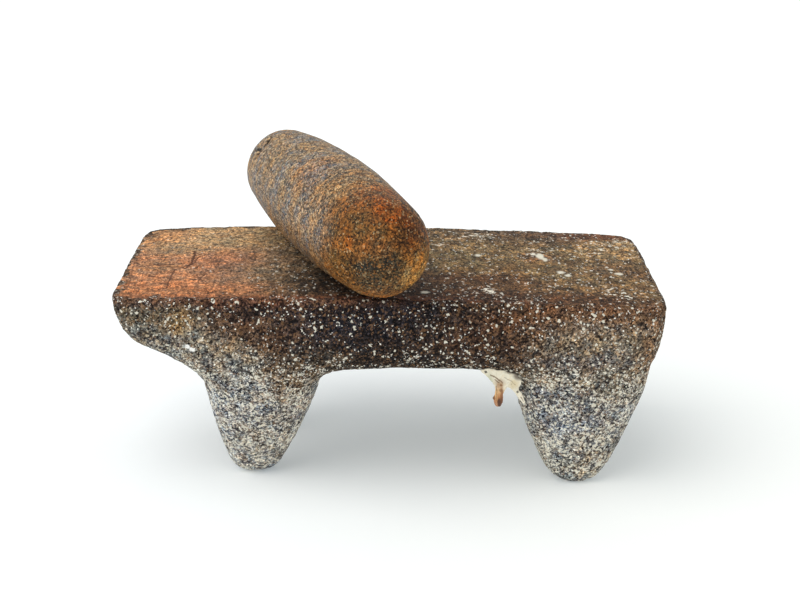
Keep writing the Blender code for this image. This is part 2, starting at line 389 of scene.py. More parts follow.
@dataclass
class SharedEffects:
    """The node groups that more than one material places."""

    stain: bpy.types.NodeTree = field(init=False)
    grain: bpy.types.NodeTree = field(init=False)
    fleck: bpy.types.NodeTree = field(init=False)
    hairline: bpy.types.NodeTree = field(init=False)

    def __post_init__(self) -> None:
        """Build each group once."""
        self.stain = self.make_stain()
        self.grain = self.make_grain()
        self.fleck = self.make_fleck()
        self.hairline = self.make_hairline()

    @staticmethod
    def start(name: str, vectors: list[str], numbers: list[str],
              outputs: list[str]) -> tuple[Bench, dict, bpy.types.Node]:
        """Begin a group with its sockets.

        Args:
            name: The group's name.
            vectors: The inputs that are vectors.
            numbers: The inputs that are numbers.
            outputs: The outputs, all numbers.

        Returns:
            Its bench, its input sockets by name and its output node.
        """
        tree = bpy.data.node_groups.new(name, "ShaderNodeTree")
        for labels, way, kind in ((vectors, "INPUT", SocketKind.VECTOR),
                                  (numbers, "INPUT", SocketKind.NUMBER),
                                  (outputs, "OUTPUT", SocketKind.NUMBER)):
            for label in labels:
                tree.interface.new_socket(label, in_out=way, socket_type=kind.value)
        bench = Bench(tree)
        source = bench.add("NodeGroupInput")
        given = {label: source.outputs[label] for label in vectors + numbers}
        return bench, given, bench.add("NodeGroupOutput")

    def make_stain(self) -> bpy.types.NodeTree:
        """Build the mask of one soft-edged stain, an ellipsoid that fades outwards.

        Returns:
            The group.
        """
        bench, given, result = self.start("soft_stain", ["Place", "Centre", "Reach"], ["Softness"], ["Mask"])
        offset = bench.vector("SUBTRACT", given["Place"], given["Centre"])
        distance = bench.vector("LENGTH", bench.vector("DIVIDE", offset, given["Reach"]))
        outer = bench.plus(1.0, given["Softness"])
        inner = bench.number("SUBTRACT", 1.0, given["Softness"])
        bench.feed(result.inputs["Mask"], bench.remap(distance, outer, inner))
        return bench.tree

    def make_grain(self) -> bpy.types.NodeTree:
        """Build the stone's mineral grains: pale, dark and rusty ones, and a random tone for each.

        Returns:
            The group.
        """
        bench, given, result = self.start("mineral_grain", ["Place"], ["Size", "Pale", "Dark", "Rusty"],
                                          ["Pale", "Dark", "Rusty", "Tone"])
        cells = bench.vector("SCALE", given["Place"], bench.number("DIVIDE", 1.0, given["Size"]))
        ragged = bench.warped(cells, *GRAIN_WANDER)
        voronoi = bench.add("ShaderNodeTexVoronoi", {"Vector": ragged, "Scale": 1.0})
        draws = bench.add("ShaderNodeSeparateColor", {0: voronoi.outputs["Color"]})
        first, second, third = draws.outputs
        threshold = bench.number("SUBTRACT", 1.0, given["Pale"])
        bench.feed(result.inputs["Pale"], bench.number("GREATER_THAN", first, threshold))
        bench.feed(result.inputs["Dark"], bench.number("LESS_THAN", first, given["Dark"]))
        bench.feed(result.inputs["Rusty"], bench.number("LESS_THAN", second, given["Rusty"]))
        bench.feed(result.inputs["Tone"], third)
        return bench.tree

    def make_fleck(self) -> bpy.types.NodeTree:
        """Build the mask of irregular chalky flecks, thicker where Cover is high.

        Returns:
            The group.
        """
        bench, given, result = self.start("chalky_fleck", ["Place"], ["Size", "Cover"], ["Mask"])
        cells = bench.vector("SCALE", given["Place"], bench.number("DIVIDE", 1.0, given["Size"]))
        blobs = bench.noise(bench.warped(cells, *FLECK_WANDER), 1.0, 4.0, 0.75).outputs["Fac"]
        gathered = bench.noise(cells, FLECK_CLUSTER).outputs["Fac"]
        height = bench.plus(blobs, bench.times(gathered, FLECK_GATHERING))
        limit = bench.number("SUBTRACT", FLECK_LIMIT, bench.times(given["Cover"], FLECK_REACH))
        bench.feed(result.inputs["Mask"], bench.remap(height, limit, bench.plus(limit, FLECK_EDGE)))
        return bench.tree

    def make_hairline(self) -> bpy.types.NodeTree:
        """Build the mask of one straight stretch of a hairline crack.

        Returns:
            The group.
        """
        bench, given, result = self.start("hairline_crack", ["Place", "Start", "End"], ["Width"], ["Mask"])
        run = bench.vector("SUBTRACT", given["End"], given["Start"])
        offset = bench.vector("SUBTRACT", given["Place"], given["Start"])
        covered, whole = bench.vector("DOT_PRODUCT", offset, run), bench.vector("DOT_PRODUCT", run, run)
        share = bench.number("DIVIDE", covered, whole, clamp=True)
        distance = bench.vector("LENGTH", bench.vector("SUBTRACT", offset, bench.vector("SCALE", run, share)))
        core = bench.times(given["Width"], HAIRLINE_CORE)
        bench.feed(result.inputs["Mask"], bench.remap(distance, given["Width"], core))
        return bench.tree

    def stain_mask(self, bench: Bench, place: Socket, stain: Stain) -> Socket:
        """Place the mask of one stain.

        Args:
            bench: The material's bench.
            place: The coordinates.
            stain: The stain.

        Returns:
            The mask's socket.
        """
        feeds = {"Place": place, "Centre": stain.centre, "Reach": stain.reach, "Softness": stain.softness}
        return bench.group(self.stain, feeds).outputs["Mask"]

    def crack_masks(self, bench: Bench, place: Socket, crack: Crack) -> list[Socket]:
        """Place the masks of one crack's stretches.

        Args:
            bench: The material's bench.
            place: The coordinates.
            crack: The crack.

        Returns:
            A mask for each stretch, as strong as the crack is dark.
        """
        masks = []
        for start, end in zip(crack.points, crack.points[1:]):
            feeds = {"Place": place, "Start": start, "End": end, "Width": crack.width}
            masks.append(bench.times(bench.group(self.hairline, feeds).outputs["Mask"], crack.depth))
        return masks


@dataclass
class StoneSurface:
    """A stone's material being wired, with what it reads from its piece.

    Attributes:
        made: The material.
        effects: The shared node groups.
        bench: Its node tree's bench.
        shader: Its Principled BSDF.
        place: The object's coordinates.
        wandering: The same, pushed about so that stains have ragged edges.
        worn: How worn the surface is, 0 to 1.
        hollow: How deep in a pit or crack it is, 0 to 1.
        drawn_out: The coordinates on which grinding has drawn the grains out along Y.
        steady: The coordinates pushed about only a little, for small marks.
    """

    made: bpy.types.Material
    effects: SharedEffects
    bench: Bench = field(init=False)
    shader: bpy.types.Node = field(init=False)
    place: Socket = field(init=False)
    wandering: Socket = field(init=False)
    worn: Socket = field(init=False)
    hollow: Socket = field(init=False)
    drawn_out: Socket = field(init=False)
    steady: Socket = field(init=False)

    def __post_init__(self) -> None:
        """Read the coordinates and the piece's attributes."""
        self.made.use_nodes = True
        self.bench = Bench(self.made.node_tree)
        self.shader = self.made.node_tree.nodes["Principled BSDF"]
        self.place = self.bench.add("ShaderNodeTexCoord").outputs["Object"]
        self.wandering = self.bench.warped(self.bench.warped(self.place, *BROAD_WANDER), *FINE_WANDER)
        self.drawn_out = self.bench.vector("MULTIPLY", self.place, GRINDING_DRAW)
        self.steady = self.bench.warped(self.place, *STEADY_WANDER)
        edge = self.bench.noise(self.place, WORN_EDGE_SIZE).outputs["Fac"]
        ragged = self.bench.plus(self.read("worn"), self.bench.times(edge, WORN_EDGE_REACH))
        self.worn = self.bench.remap(ragged, *WORN_EDGE)
        self.hollow = self.read("hollow")

    def read(self, name: str) -> Socket:
        """Read one of the piece's attributes.

        Args:
            name: The attribute's name.

        Returns:
            Its socket.
        """
        return self.bench.add("ShaderNodeAttribute", attribute_name=name).outputs["Fac"]

    def along(self, socket: Socket, axis: str) -> Socket:
        """Take one coordinate of a vector.

        Args:
            socket: The vector.
            axis: X, Y or Z.

        Returns:
            The coordinate's socket.
        """
        return self.bench.add("ShaderNodeSeparateXYZ", {0: socket}).outputs[axis]

    def hold(self, face: Face) -> object:
        """Find the mask of the faces that a stain takes hold of.

        Args:
            face: The kind of face.

        Returns:
            The mask, a socket or 1.
        """
        if face is Face.ALL:
            return 1.0
        return self.worn if face is Face.WORN else self.bench.number("SUBTRACT", 1.0, self.worn)

    def lay(self, stain: Stain, under: Socket, place: Socket | None = None) -> Socket:
        """Lay one stain over the colour so far.

        Args:
            stain: The stain.
            under: The colour so far.
            place: The coordinates it is drawn on, the wandering ones unless given.

        Returns:
            The new colour's socket.
        """
        mask = self.effects.stain_mask(self.bench, place or self.wandering, stain)
        share = self.bench.times(mask, stain.strength, self.hold(stain.face))
        return self.bench.mix(share, under, stain.colour)

    def cloud(self, mottle: Mottle, under: Socket, strength: Socket | None = None,
              place: Socket | None = None) -> Socket:
        """Cloud a colour with two tints.

        Args:
            mottle: The clouds.
            under: The colour so far.
            strength: How strongly they show, the mottle's own strength unless given.
            place: The coordinates, the object's own unless given.

        Returns:
            The new colour's socket.
        """
        clouds = self.bench.noise(place or self.place, mottle.size).outputs["Fac"]
        tint = self.bench.mix(self.bench.remap(clouds, *CLOUD_EDGE), mottle.dark, mottle.light)
        return self.bench.mix(strength or mottle.strength, under, tint, "MULTIPLY")

    def grains(self, place: Socket, size: float, pale: object, dark: object,
               rusty: float) -> dict[str, Socket]:
        """Place one size of mineral grain.

        Args:
            place: The coordinates.
            size: The grain's size.
            pale: The share of pale grains.
            dark: The share of dark ones.
            rusty: The share of rusty ones.

        Returns:
            The masks and the tone by name.
        """
        feeds = {"Place": place, "Size": size, "Pale": pale, "Dark": dark, "Rusty": rusty}
        node = self.bench.group(self.effects.grain, feeds)
        return {output.name: output for output in node.outputs}

    def bump(self, relief: Socket, height: float) -> None:
        """Give the shader a fine relief.

        Args:
            relief: How high the surface stands.
            height: What 1 of it stands for in metres.
        """
        feeds = {"Strength": BUMP_STRENGTH, "Distance": height, "Height": relief}
        bump = self.bench.add("ShaderNodeBump", feeds)
        self.bench.feed(self.shader.inputs["Normal"], bump.outputs["Normal"])

    def blend_grains(self, rough: dict[str, Socket], worn: dict[str, Socket]) -> dict[str, Socket]:
        """Use one set of grains on rough stone and another where it is worn.

        Args:
            rough: The grains of rough stone.
            worn: The grains of worn stone.

        Returns:
            The blended masks and tone by name.
        """
        def blended(kind: str) -> Socket:
            return self.bench.add("ShaderNodeMix", {0: self.worn, 2: rough[kind], 3: worn[kind]}).outputs[0]

        return {kind: blended(kind) for kind in rough}

    def speckle(self, grains: dict[str, Socket], tints: GrainTints, bite: object, under: Socket) -> Socket:
        """Show one size of grain over the colour so far.

        Args:
            grains: The masks and the tone.
            tints: The grains' colours and strengths.
            bite: How far they show here.
            under: The colour so far.

        Returns:
            The new colour's socket.
        """
        bench = self.bench
        swing = bench.times(bench.number("SUBTRACT", grains["Tone"], 0.5), tints.swing)
        tone = bench.plus(1.0, bench.times(swing, bite))
        grey = bench.add("ShaderNodeCombineXYZ", {0: tone, 1: tone, 2: tone}).outputs[0]
        colour = bench.mix(1.0, under, grey, "MULTIPLY")
        for kind, strength, tint, blend in (("Rusty", tints.rusty_strength, tints.rusty, "MIX"),
                                            ("Dark", tints.dark_strength, tints.dark, "MULTIPLY"),
                                            ("Pale", tints.pale_strength, tints.pale, "MIX")):
            share = bench.times(grains[kind], strength, bite)
            colour = bench.mix(share, colour, tint, blend)
        return colour


@dataclass(frozen=True)
class QuernFinish:
    """The quern's stone: grey and gritty below, brown and sooty along the slab, worn smooth on top.

    Pairs of numbers are the two ends that a value is eased between. The plain side is the left of
    the worn face, which has next to no flecks.
    """

    leg_grey: Colour = srgb(180, 186, 190)
    leg_brown: Colour = srgb(148, 142, 128)
    slab_brown: Colour = srgb(98, 82, 68)
    worn_brown: Colour = srgb(132, 112, 80)
    chalk: Colour = srgb(250, 242, 222)
    crack_colour: Colour = srgb(80, 46, 30)
    pit_shade: Colour = srgb(28, 24, 22)
    coarse: GrainTints = GrainTints(srgb(228, 222, 204), (0.15, 0.14, 0.17), srgb(146, 108, 72),
                                    pale_strength=0.85, dark_strength=0.90, rusty_strength=0.35, swing=1.1)
    fine: GrainTints = GrainTints(srgb(232, 229, 218), (0.20, 0.19, 0.22), srgb(150, 110, 74),
                                  pale_strength=0.85, dark_strength=0.85, rusty_strength=0.38, swing=1.2)
    roughness: float = 0.88
    worn_roughness: float = 0.75
    gloss: float = 0.15
    coarse_size: float = 0.0014
    fine_size: float = 0.0008
    worn_coarse_size: float = 0.0014
    worn_fine_size: float = 0.0009
    fleck_size: float = 0.0020
    worn_fleck_size: float = 0.0042
    fleck_strength: float = 0.9
    bump_height: float = 0.0005
    grit_size: float = 0.0014
    cloud_size: float = 0.025
    cloud_height: float = 0.05
    slab_rise: Pair = (0.090, 0.128)
    leg_rise: Pair = (0.072, 0.112)
    plain_side: Pair = (-0.05, -0.11)
    blotch_strength: Pair = (0.85, 0.25)
    worn_ease: Pair = (0.20, 0.34)
    pale_share: float = 0.03
    lower_pale_share: float = 0.10
    drift_size: float = 0.013
    pale_edge: Pair = (0.38, 0.62)
    pale_drift: Pair = (0.4, 1.7)
    dark_edge: Pair = (0.36, 0.60)
    dark_drift: Pair = (0.36, 0.10)
    worn_pale: Pair = (0.022, 0.004)
    worn_cover: Pair = (0.49, -0.4)
    rough_cover: float = 0.06
    lower_cover: float = 0.50
    crack_sway: Pair = (0.010, 0.0018)
    crack_jitter: Pair = (0.0025, 0.0010)
    grain_relief: float = 0.5
    pit_range: Pair = (0.30, 1.0)
    pit_strength: float = 0.55

    mottles: tuple[Mottle, ...] = (
        Mottle(0.012, (0.78, 0.84, 0.86), (1.24, 1.12, 1.0), 0.75),
        Mottle(0.0075, (0.82, 0.94, 1.10), (1.20, 1.04, 0.84), 0.7),
        Mottle(0.0042, (0.60, 0.60, 0.64), (1.36, 1.30, 1.20), 0.8),
    )
    blotches: Mottle = Mottle(0.007, (0.54, 0.52, 0.54), (1.50, 1.42, 1.28))
    stains: tuple[Stain, ...] = stain_rows(
        Face.WORN,
        ((-142, -10, 134.5), (80, 85, 20), (204, 146, 108), 0.92, 0.35),
        ((-125, 66, 134.5), (75, 45, 20), (206, 174, 132), 0.85, 0.6),
        ((-165, 70, 134.5), (20, 30, 20), (200, 140, 92), 0.6, 0.6),
        ((-135, -78, 134.5), (85, 22, 20), (200, 132, 88), 0.7, 0.6),
        ((-155, -20, 134.5), (14, 16, 20), (164, 132, 98), 0.55, 0.7),
        ((-150, 30, 134.5), (16, 14, 20), (158, 138, 108), 0.55, 0.7),
        ((-105, 40, 134.5), (24, 30, 20), (170, 148, 112), 0.55, 0.7),
        ((-105, -2, 134.5), (25, 30, 20), (170, 112, 84), 0.5, 0.6),
        ((-98, -36, 134.5), (22, 30, 20), (142, 122, 102), 0.6, 0.7),
        ((-60, -20, 134.5), (35, 70, 20), (136, 122, 100), 0.85, 0.5),
        ((-70, 60, 134.5), (30, 35, 20), (146, 128, 96), 0.6, 0.6),
        # Next row: dark stone where the handstone rests, with painted shade under and beside the handstone
        # laid into it.
        ((-20, -60, 134), (55, 50, 20), (44, 37, 35), 0.88, 0.5),
        ((40, -78, 133), (64, 34, 20), (52, 42, 36), 0.85, 0.6),
        ((110, 82, 130), (75, 26, 20), (84, 62, 52), 0.85, 0.5),
        ((60, 80, 131), (22, 16, 20), (110, 100, 82), 0.6, 0.7),
        ((45, 10, 132), (30, 18, 20), (116, 104, 76), 0.6, 0.7),
        ((130, -10, 129.5), (20, 14, 20), (152, 134, 104), 0.5, 0.7),
        ((70, -30, 131), (36, 18, 20), (124, 98, 62), 0.55, 0.7),
        ((99.7, 22.6, 130.8), (14, 13, 20), (116, 62, 32), 0.85, 0.6),
        ((124, 62, 130), (36, 16, 20), (66, 54, 50), 0.85, 0.6),
        ((58, -46, 131), (50, 18, 20), (88, 56, 38), 0.75, 0.6),
        ((128, -24, 130), (32, 20, 20), (148, 132, 98), 0.6, 0.6),
        ((158, 50, 129), (28, 34, 20), (170, 144, 106), 0.8, 0.6),
        ((160, 84, 128.5), (34, 12, 20), (112, 66, 46), 0.75, 0.6),
        ((160, -15, 129), (40, 26, 20), (98, 72, 52), 0.6, 0.7),
        ((80, 40, 132), (60, 30, 20), (146, 126, 92), 0.5, 0.7),
        ((105, -62, 130), (80, 20, 20), (112, 86, 58), 0.6, 0.7),
        ((100, -88, 130), (110, 18, 20), (80, 53, 36), 0.88, 0.7),
    ) + stain_rows(
        Face.ROUGH,
        ((-100, -98, 127), (70, 30, 9), (60, 48, 47), 0.85, 0.6),
        ((20, -98, 128), (80, 30, 8), (44, 36, 34), 0.85, 0.6),
        ((-85, -98, 113), (45, 30, 10), (104, 78, 62), 0.6, 0.7),
        ((-150, -95, 115), (36, 40, 22), (124, 118, 104), 0.8, 0.5),
        ((-140, -90, 95), (50, 50, 18), (172, 172, 164), 0.8, 0.5),
        ((-133, -97, 117), (8, 20, 8), (170, 134, 80), 0.55, 0.8),
        ((-105, -96, 101), (20, 20, 10), (150, 132, 104), 0.5, 0.8),
        ((-10, -98, 112), (55, 30, 24), (34, 38, 50), 0.88, 0.5),
        ((-30, -98, 94), (40, 30, 14), (64, 56, 54), 0.7, 0.6),
        ((35, -98, 104), (35, 30, 26), (56, 48, 46), 0.8, 0.5),
        ((75, -98, 112), (40, 30, 22), (82, 60, 48), 0.75, 0.6),
        ((10, -95, 89), (64, 30, 11), (54, 48, 46), 0.9, 0.5),
        ((-45, -95, 88), (20, 30, 10), (96, 90, 80), 0.6, 0.7),
        ((150, -85, 72), (40, 40, 12), (138, 128, 108), 0.6, 0.7),
        ((-100, -85, 60), (20, 40, 30), (146, 152, 158), 0.55, 0.7),
        ((-66, -85, 62), (12, 40, 22), (140, 118, 92), 0.5, 0.8),
        ((-86, -85, 40), (14, 40, 12), (132, 122, 104), 0.5, 0.8),
        ((-80, -80, 15), (40, 40, 20), (172, 162, 138), 0.4, 0.7),
        ((120, -85, 12), (40, 40, 18), (178, 168, 142), 0.5, 0.7),
        ((140, -98, 120), (60, 30, 12), (126, 90, 66), 0.75, 0.6),
        ((145, -97, 100), (50, 30, 18), (160, 150, 132), 0.75, 0.6),
        ((125, -96, 92), (30, 30, 6), (92, 94, 104), 0.6, 0.8),
        ((174, -60, 100), (16, 80, 30), (136, 108, 84), 0.7, 0.6),
        ((110, -85, 56), (26, 40, 18), (122, 130, 140), 0.55, 0.7),
        ((140, -80, 34), (14, 40, 20), (136, 126, 106), 0.5, 0.8),
        ((90, -80, 30), (12, 40, 20), (130, 122, 104), 0.5, 0.8),
    )
    cracks: tuple[Crack, ...] = (
        Crack(((-0.1655, 0.0647, 0.0), (-0.1654, 0.0531, 0.0), (-0.1685, 0.0445, 0.0)), 0.0010, 0.6),
        Crack(((-0.1745, 0.0304, 0.0), (-0.1720, -0.0230, 0.0), (-0.1685, -0.0768, 0.0)), 0.0009, 0.55),
        Crack(((-0.1359, 0.0207, 0.0), (-0.1343, -0.0022, 0.0), (-0.1349, -0.0178, 0.0)), 0.0012, 0.9),
        Crack(((-0.1352, -0.0152, 0.0), (-0.1436, -0.0270, 0.0), (-0.1442, -0.0480, 0.0),
               (-0.1435, -0.0721, 0.0)), 0.0010, 0.8),
        Crack(((-0.1390, -0.0178, 0.0), (-0.1460, -0.0209, 0.0), (-0.1580, -0.0152, 0.0)), 0.0018, 0.6),
        Crack(((-0.1220, -0.0331, 0.0), (-0.1239, -0.0456, 0.0), (-0.1247, -0.0602, 0.0)), 0.0010, 0.6),
        Crack(((-0.1374, -0.0626, 0.0), (-0.1321, -0.0745, 0.0), (-0.1277, -0.0791, 0.0)), 0.0010, 0.5),
        Crack(((-0.1658, -0.0178, 0.0), (-0.1566, -0.0142, 0.0), (-0.1467, -0.0147, 0.0)), 0.0016, 0.8),
        Crack(((-0.16, -0.0424, 0.0), (-0.1524, -0.0466, 0.0), (-0.1445, -0.0453, 0.0)), 0.0016, 0.75),
        Crack(((-0.1277, -0.0394, 0.0), (-0.1248, -0.0505, 0.0), (-0.1207, -0.0602, 0.0)), 0.0009, 0.6),
        Crack(((-0.1366, -0.0242, 0.0), (-0.1345, -0.0147, 0.0), (-0.1323, -0.0061, 0.0),
               (-0.1312, 0.0077, 0.0)), 0.0010, 0.8),
    )
    chalk_patches: tuple[Stain, ...] = stain_rows(
        Face.WORN,
        ((99, 27.3, 131), (1.4, 3.4, 20), (232, 226, 206), 0.85, 0.5),
        ((114.1, -19, 131), (2.6, 3.6, 20), (232, 226, 206), 0.85, 0.5),
        ((118.1, -26.6, 131), (2, 3, 20), (232, 226, 206), 0.85, 0.5),
        ((60.1, 19.1, 131), (2.4, 3, 20), (232, 226, 206), 0.85, 0.5),
        ((153.1, -17.7, 131), (2.6, 3, 20), (232, 226, 206), 0.85, 0.5),
        ((148.9, -7.4, 131), (1.6, 2.4, 20), (232, 226, 206), 0.85, 0.5),
        ((22.1, -78.5, 131), (2.6, 3, 20), (232, 226, 206), 0.85, 0.5),
        ((103, 21.5, 130.7), (2.6, 8, 20), (234, 228, 206), 0.9, 0.35),
        ((106, 13, 130.7), (2, 5, 20), (234, 228, 206), 0.8, 0.35),
    ) + stain_rows(
        Face.ROUGH,
        ((-128.3, -96.7, 103.2), (1.8, 10, 1.8), (252, 250, 244), 0.95, 0.25),
        ((-125.5, -96.7, 101), (2, 10, 1.3), (252, 250, 244), 0.95, 0.25),
    )

    # Darker bands along the front rim: on the edge of the worn face, and just below it on the front face.
    rim_darkening: tuple[Stain, ...] = stain_rows(
        Face.WORN,
        ((-80, -95, 134.5), (130, 6, 20), (116, 72, 54), 0.75, 0.9),
    ) + stain_rows(
        Face.ROUGH,
        ((-100, -98, 133), (85, 30, 4), (110, 76, 60), 0.8, 0.8),
        ((-60, -98, 127), (60, 30, 3), (46, 38, 40), 0.7, 0.8),
    )

    def material(self, effects: SharedEffects) -> bpy.types.Material:
        """Make the quern's material.

        Args:
            effects: The shared node groups.

        Returns:
            The material.
        """
        surface = StoneSurface(bpy.data.materials.new("quern_stone"), effects)
        bench, shader = surface.bench, surface.shader
        clouds = bench.noise(surface.place, self.cloud_size, 4.0, 0.5).outputs["Fac"]
        height = bench.plus(surface.along(surface.place, "Z"), bench.times(clouds, self.cloud_height))
        upper = bench.remap(height, *self.slab_rise)
        lower = bench.number("SUBTRACT", 1.0, upper)
        plain = bench.remap(surface.along(surface.wandering, "X"), *self.plain_side)
        ease = bench.times(surface.worn, bench.remap(plain, 0.0, 1.0, *self.worn_ease))
        bite = bench.number("SUBTRACT", 1.0, ease)

        ground = self.ground(surface, height, upper, plain)
        coarse, fine = self.grains(surface, lower, plain)
        colour = surface.speckle(fine, self.fine, bite, ground)
        colour = surface.speckle(coarse, self.coarse, bite, colour)
        colour = self.chalky(surface, lower, plain, colour)
        cracks = bench.times(self.crack_mask(surface), surface.worn)
        colour = bench.mix(cracks, colour, self.crack_colour)
        shade = bench.times(bench.remap(surface.hollow, *self.pit_range), self.pit_strength)
        bench.feed(shader.inputs["Base Color"], bench.mix(shade, colour, self.pit_shade))
        roughness = bench.remap(surface.worn, 0.0, 1.0, self.roughness, self.worn_roughness)
        bench.feed(shader.inputs["Roughness"], roughness)
        shader.inputs["Specular IOR Level"].default_value = self.gloss

        grit = bench.noise(surface.place, self.grit_size).outputs["Fac"]
        relief = bench.plus(grit, bench.times(fine["Tone"], self.grain_relief))
        relief = bench.number("SUBTRACT", bench.times(relief, bite), cracks)
        surface.bump(relief, self.bump_height)
        return surface.made

    def ground(self, surface: StoneSurface, height: Socket, upper: Socket, plain: Socket) -> Socket:
        """Lay the stone's broad colours, stains and clouds.

        Args:
            surface: The surface being wired.
            height: The height, with clouds on it.
            upper: How far up on the slab it is.
            plain: How far into the plain side of the worn face it is.

        Returns:
            The colour's socket.
        """
        bench = surface.bench
        leg = bench.mix(bench.remap(height, *self.leg_rise), self.leg_grey, self.leg_brown)
        ground = bench.mix(surface.worn, bench.mix(upper, leg, self.slab_brown), self.worn_brown)
        for stain in self.stains:
            ground = surface.lay(stain, ground)
        for rim_band in self.rim_darkening:
            ground = surface.lay(rim_band, ground, surface.steady)
        for mottle in self.mottles:
            ground = surface.cloud(mottle, ground)
        strength = bench.times(surface.worn, bench.remap(plain, 0.0, 1.0, *self.blotch_strength))
        return surface.cloud(self.blotches, ground, strength, surface.drawn_out)

    def grains(self, surface: StoneSurface, lower: Socket, plain: Socket) -> tuple[dict, dict]:
        """Place both sizes of mineral grain, gathered in drifts on rough stone.

        Args:
            surface: The surface being wired.
            lower: How far down the stone it is.
            plain: How far into the plain side of the worn face it is.

        Returns:
            The coarse grains and the fine ones.
        """
        bench = surface.bench
        drift = bench.noise(surface.wandering, self.drift_size).outputs["Fac"]
        share = bench.plus(self.pale_share, bench.times(lower, self.lower_pale_share))
        pale = bench.times(share, bench.remap(drift, *self.pale_edge, *self.pale_drift))
        dark = bench.remap(drift, *self.dark_edge, *self.dark_drift)
        worn_pale = bench.remap(plain, 0.0, 1.0, *self.worn_pale)
        rough, worn = surface.place, surface.drawn_out
        coarse = surface.grains(rough, self.coarse_size, pale, dark, rusty=0.10)
        fine = surface.grains(rough, self.fine_size, pale, dark=0.25, rusty=0.16)
        worn_coarse = surface.grains(worn, self.worn_coarse_size, worn_pale, dark=0.16, rusty=0.14)
        worn_fine = surface.grains(worn, self.worn_fine_size, worn_pale, dark=0.24, rusty=0.16)
        return surface.blend_grains(coarse, worn_coarse), surface.blend_grains(fine, worn_fine)

    def chalky(self, surface: StoneSurface, lower: Socket, plain: Socket, under: Socket) -> Socket:
        """Fleck the stone with chalk, thickest on the legs and on the right of the worn face.

        Args:
            surface: The surface being wired.
            lower: How far down the stone it is.
            plain: How far into the plain side of the worn face it is.
            under: The colour so far.

        Returns:
            The new colour's socket.
        """
        bench = surface.bench
        worn_cover = bench.remap(plain, 0.0, 1.0, *self.worn_cover)
        rough_cover = bench.plus(self.rough_cover, bench.times(lower, self.lower_cover))
        colour = under
        for size, cover, face in ((self.fleck_size, rough_cover, Face.ROUGH),
                                  (self.worn_fleck_size, worn_cover, Face.WORN)):
            feeds = {"Place": surface.place, "Size": size, "Cover": cover}
            flecks = bench.group(surface.effects.fleck, feeds).outputs["Mask"]
            share = bench.times(flecks, self.fleck_strength, surface.hold(face))
            colour = bench.mix(share, colour, self.chalk)
        for patch in self.chalk_patches:
            colour = surface.lay(patch, colour, surface.steady)
        return colour

    def crack_mask(self, surface: StoneSurface) -> Socket:
        """Draw every hairline crack as one mask.

        Args:
            surface: The surface being wired.

        Returns:
            The mask's socket.
        """
        bench = surface.bench
        place = bench.warped(bench.warped(surface.place, *self.crack_sway), *self.crack_jitter)
        place = bench.vector("MULTIPLY", place, (1.0, 1.0, 0.0))
        masks = [mask for crack in self.cracks for mask in surface.effects.crack_masks(bench, place, crack)]
        return reduce(lambda first, second: bench.number("MAXIMUM", first, second), masks)


